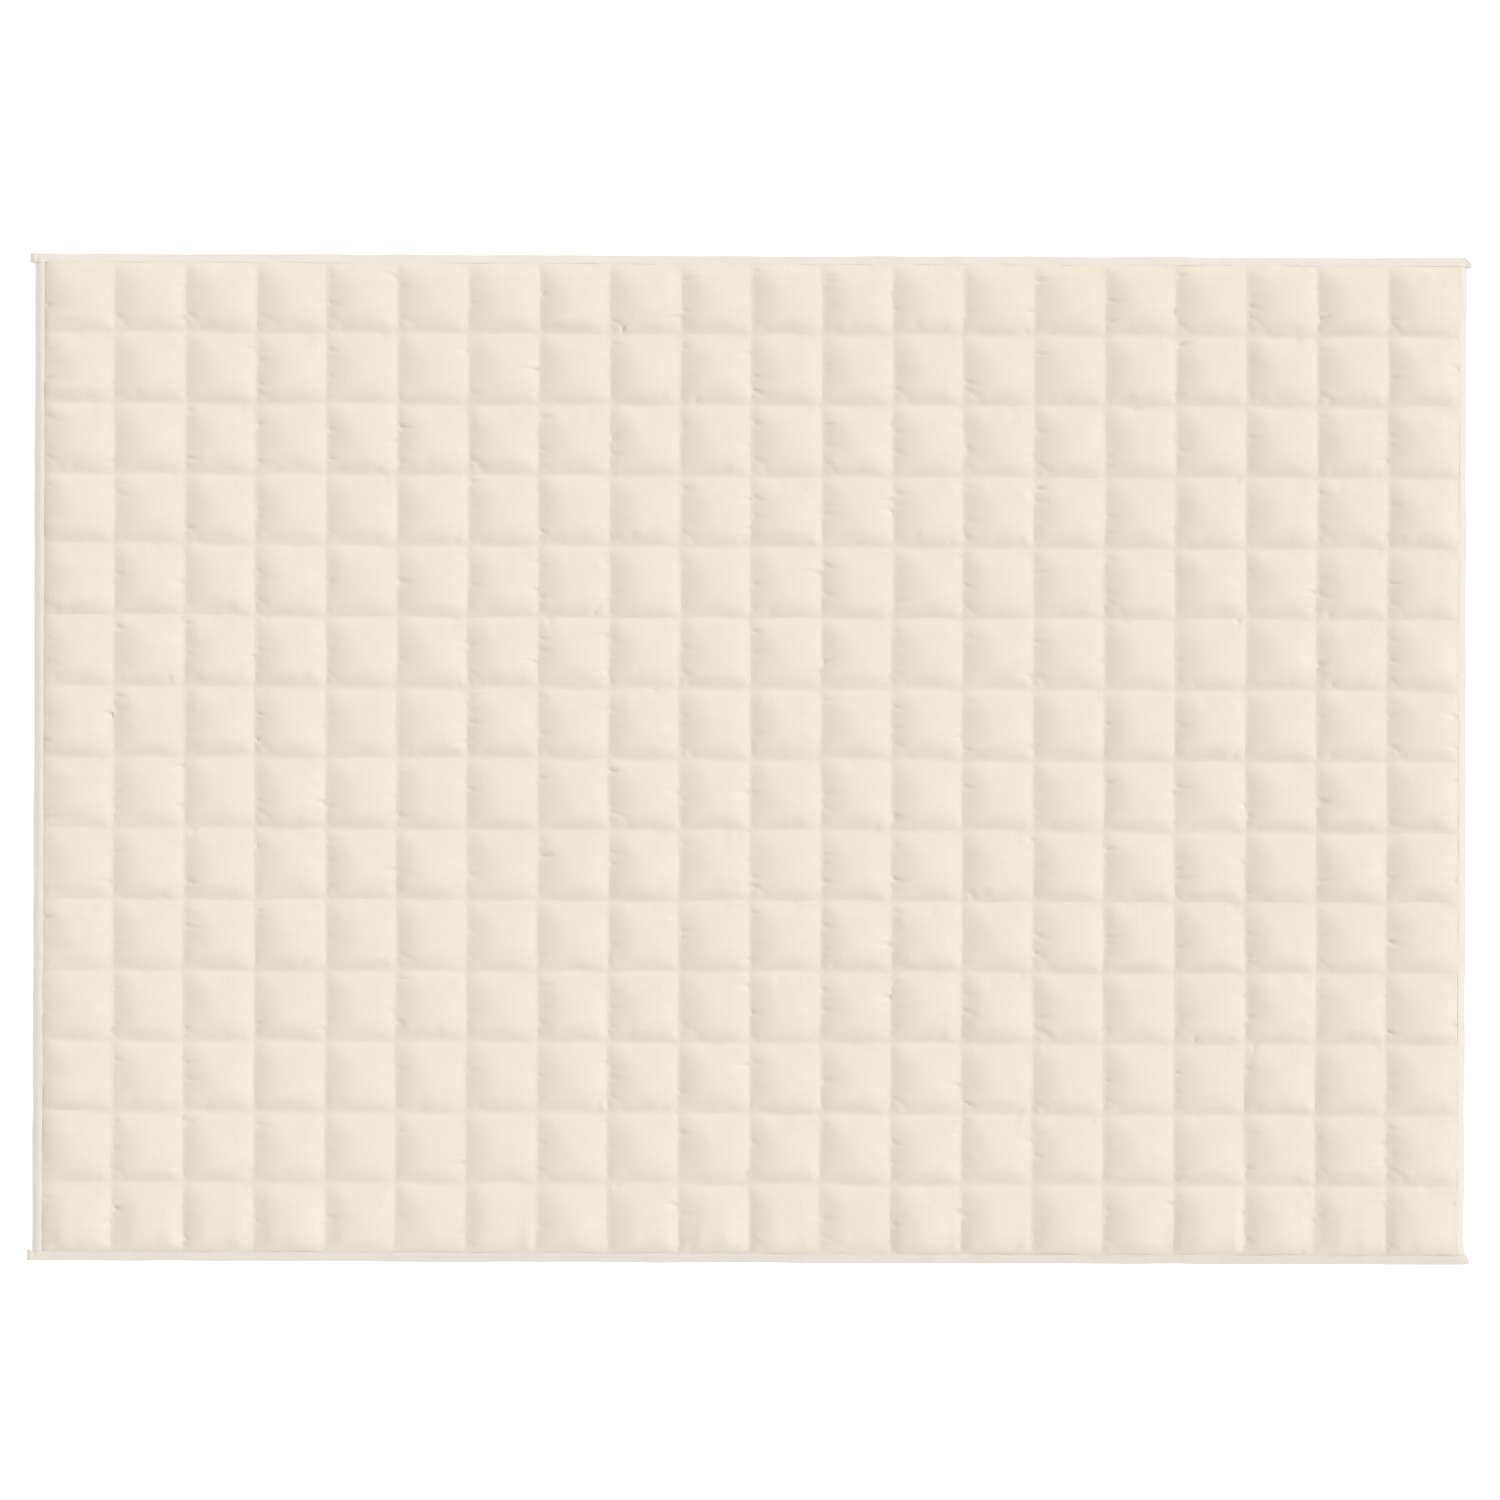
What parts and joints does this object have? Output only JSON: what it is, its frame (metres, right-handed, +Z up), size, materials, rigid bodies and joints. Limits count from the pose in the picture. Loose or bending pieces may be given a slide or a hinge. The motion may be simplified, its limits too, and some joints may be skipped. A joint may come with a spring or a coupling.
{
  "type": "weighted blanket",
  "caption": "Flat quilted weighted blanket, filled square by square, with a narrow bound edge and small ears at its corners.",
  "frame": {"origin": "under the middle of the blanket, on the surface that it lies on", "axes": "+X along the long side, +Y along the short side, +Z up out of the upper face"},
  "size_m": [2.016, 1.407, 0.0164],
  "materials": {
    "quilt_cotton": "plain woven cotton, matt, cream",
    "binding_cotton": "plain woven cotton tape, matt, pale cream"
  },
  "bodies": {
    "root": {"quilted_body": "quilt_cotton", "binding_left": "binding_cotton", "binding_right": "binding_cotton", "binding_far": "binding_cotton", "binding_near": "binding_cotton"}
  },
  "joints": []
}
